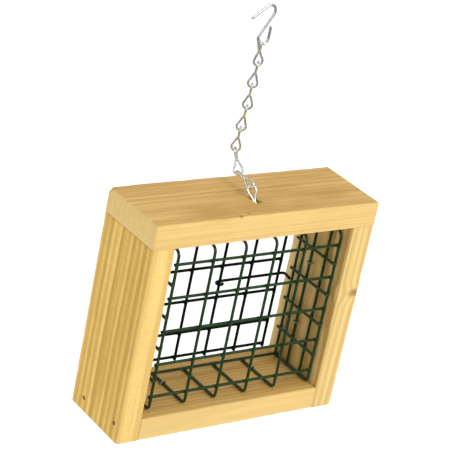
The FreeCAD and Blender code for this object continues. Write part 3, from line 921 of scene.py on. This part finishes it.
def eye_path():
    """Return the chain eye's wire: two legs side by side in the wood, opening to a round top."""
    foot = Vector((0, SLOT_BACK, top_high.z))
    up = Z * math.cos(EYE_LEAN) + Y * math.sin(EYE_LEAN)
    radius = EYE_WIDTH / 2
    gap = EYE_WIRE + 0.05 * MM
    centre = foot + up * (EYE_HEIGHT - radius)
    neck = foot + X * gap
    away = neck - centre
    lean = math.atan2(away.dot(up), away.dot(X)) + math.acos(radius / away.length)
    arc = arc_between(centre, radius, lean, math.pi - lean, X, up)
    other = foot - X * gap
    bend_radius = 4 * EYE_WIRE
    right = bent_path([neck - up * EYE_LEG, neck, arc[0]], [bend_radius])
    left = bent_path([arc[-1], other, other - up * EYE_LEG], [bend_radius])
    return right[:-1] + arc + left[1:]


def hook_path():
    """Return the hook's wire: tip, crest, slanting shank, round eye and the eye's open leg."""
    low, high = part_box("hanging_hook")
    middle = (low.y + high.y) / 2
    eye, crest = HOOK_EYE_WIDTH / 2, HOOK_WIDTH / 2
    base = Vector((high.x - HOOK_WIRE - eye - HOOK_EYE_SHIFT, middle, low.z + HOOK_WIRE))
    bottom = base + X * HOOK_EYE_SHIFT + Z * eye
    summit = base + X * HOOK_CREST + Z * (HOOK_HEIGHT - crest)
    tip = base + X * HOOK_TIP_LEFT + Z * HOOK_TIP_RISE
    away = tip - summit
    over = math.atan2(away.z, away.x) - math.acos(crest / away.length)
    over %= 2 * math.pi
    apart = summit - bottom
    shank = math.atan2(apart.z, apart.x) + math.acos((eye + crest) / apart.length)
    crest_arc = arc_between(summit, crest, over, shank - math.pi, X, Z, 10)
    eye_arc = arc_between(bottom, eye, shank, 2 * math.pi, X, Z, 10)
    return (run(tip, crest_arc[0], 3 * MM)[:-1] + crest_arc[:-1]
            + run(crest_arc[-1], eye_arc[0], 3 * MM)[:-1] + eye_arc[:-1]
            + run(eye_arc[-1], base + X * (HOOK_EYE_SHIFT + eye) + Z * HOOK_EYE_LEG, 3 * MM))


wire_piece("chain_eye", [eye_path()], "frame", zinc, EYE_WIRE)
wire_piece("hanging_hook", [hook_path()], "hook", zinc, HOOK_WIRE)

# ---------------------------------------------------------------- stage, light and camera

VIEW_AZIMUTH, VIEW_ELEVATION, VIEW_ROLL = map(math.radians, (-39.16, 23.73, 11.82))
VIEW_TARGET = Vector((-0.015, 0.0, 0.149))
VIEW_DISTANCE = 1.28
LENS_MM = 144.4


def aim(azimuth, elevation):
    """Return the direction of view for an azimuth and an elevation in radians."""
    return Vector((-math.sin(azimuth) * math.cos(elevation),
                   math.cos(azimuth) * math.cos(elevation), -math.sin(elevation)))


def add_camera():
    """Add the camera, which looks at the target with its roll."""
    forward = aim(VIEW_AZIMUTH, VIEW_ELEVATION)
    level = forward.cross(Z).normalized()
    upward = level.cross(forward)
    right = level * math.cos(VIEW_ROLL) + upward * math.sin(VIEW_ROLL)
    camera = bpy.data.objects.new("camera", bpy.data.cameras.new("camera"))
    camera.data.lens = LENS_MM
    turn = Matrix((right, right.cross(forward), -forward)).transposed()
    camera.matrix_world = Matrix.Translation(VIEW_TARGET - forward * VIEW_DISTANCE) @ turn.to_4x4()
    camera.data.clip_start, camera.data.clip_end = 0.01, 50
    bpy.context.scene.collection.objects.link(camera)
    bpy.context.scene.camera = camera


def add_area(name, azimuth, elevation, distance, size, power):
    """Add a soft light that looks at the feeder from a direction given in degrees."""
    forward = aim(math.radians(azimuth), math.radians(elevation))
    light = bpy.data.lights.new(name, "AREA")
    light.shape, light.size, light.energy = "DISK", size, power
    lamp = bpy.data.objects.new(name, light)
    lamp.location = VIEW_TARGET - forward * distance
    lamp.rotation_mode = "QUATERNION"
    lamp.rotation_quaternion = forward.to_track_quat("-Z", "Y")
    bpy.context.scene.collection.objects.link(lamp)


def add_floor():
    """Add a pale floor below the hanging feeder, darker where the wires mirror it."""
    bm = bmesh.new()
    bmesh.ops.create_grid(bm, x_segments=1, y_segments=1, size=12)
    mesh = bpy.data.meshes.new("floor")
    bm.to_mesh(mesh)
    bm.free()
    floor = bpy.data.objects.new("floor", mesh)
    floor.location.z = -0.45
    bpy.context.scene.collection.objects.link(floor)
    g = Graph("pale_floor")
    mirrored = g.add("LightPath").outputs["Is Glossy Ray"]
    colour = g.mix(mirrored, (0.93, 0.93, 0.93, 1), (0.20, 0.20, 0.20, 1))
    glow = g.math("MULTIPLY_ADD", mirrored, -0.3, 0.3)
    g.surface(Base_Color=colour, Roughness=0.9, Specular_IOR_Level=0.1,
              Emission_Color=(1, 1, 1, 1), Emission_Strength=glow)
    mesh.materials.append(g.material)


SOFT_LIGHT, ROOM_LIGHT, BACKGROUND = 0.85, 0.75, 1.05


def add_world():
    """Show white behind the feeder and light it softly, with a dim room in its reflections."""
    world = bpy.data.worlds.new("studio")
    bpy.context.scene.world = world
    world.use_nodes = True
    tree = world.node_tree
    tree.nodes.clear()
    put, link = tree.nodes.new, tree.links.new
    output, path = put("ShaderNodeOutputWorld"), put("ShaderNodeLightPath")
    soft, room, white = (put("ShaderNodeBackground") for _ in range(3))
    soft.inputs["Color"].default_value = (1.0, 1.0, 1.0, 1)
    soft.inputs["Strength"].default_value = SOFT_LIGHT
    white.inputs["Color"].default_value = (1.0, 1.0, 1.0, 1)
    white.inputs["Strength"].default_value = BACKGROUND
    heading, lean = put("ShaderNodeTexCoord"), put("ShaderNodeVectorMath")
    lean.operation = "DOT_PRODUCT"
    lean.inputs[1].default_value = (-0.55, -0.15, 0.80)
    link(heading.outputs["Generated"], lean.inputs[0])
    ramp = put("ShaderNodeValToRGB")
    ramp.color_ramp.elements[0].position, ramp.color_ramp.elements[1].position = 0.36, 0.60
    ramp.color_ramp.elements[0].color = (0.06, 0.06, 0.06, 1)
    ramp.color_ramp.elements[1].color = (1.0, 1.0, 1.0, 1)
    level = put("ShaderNodeMath")
    level.operation = "MULTIPLY_ADD"
    level.inputs[1].default_value, level.inputs[2].default_value = 0.5, 0.5
    link(lean.outputs["Value"], level.inputs[0])
    link(level.outputs[0], ramp.inputs[0])
    link(ramp.outputs[0], room.inputs["Color"])
    room.inputs["Strength"].default_value = ROOM_LIGHT
    first, second = put("ShaderNodeMixShader"), put("ShaderNodeMixShader")
    link(path.outputs["Is Glossy Ray"], first.inputs[0])
    link(soft.outputs[0], first.inputs[1])
    link(room.outputs[0], first.inputs[2])
    link(path.outputs["Is Camera Ray"], second.inputs[0])
    link(first.outputs[0], second.inputs[1])
    link(white.outputs[0], second.inputs[2])
    link(second.outputs[0], output.inputs["Surface"])


add_camera()
add_floor()
add_world()
add_area("key", 14, 40, 1.6, 0.7, 10.2)
bpy.context.scene.view_settings.view_transform = "Standard"
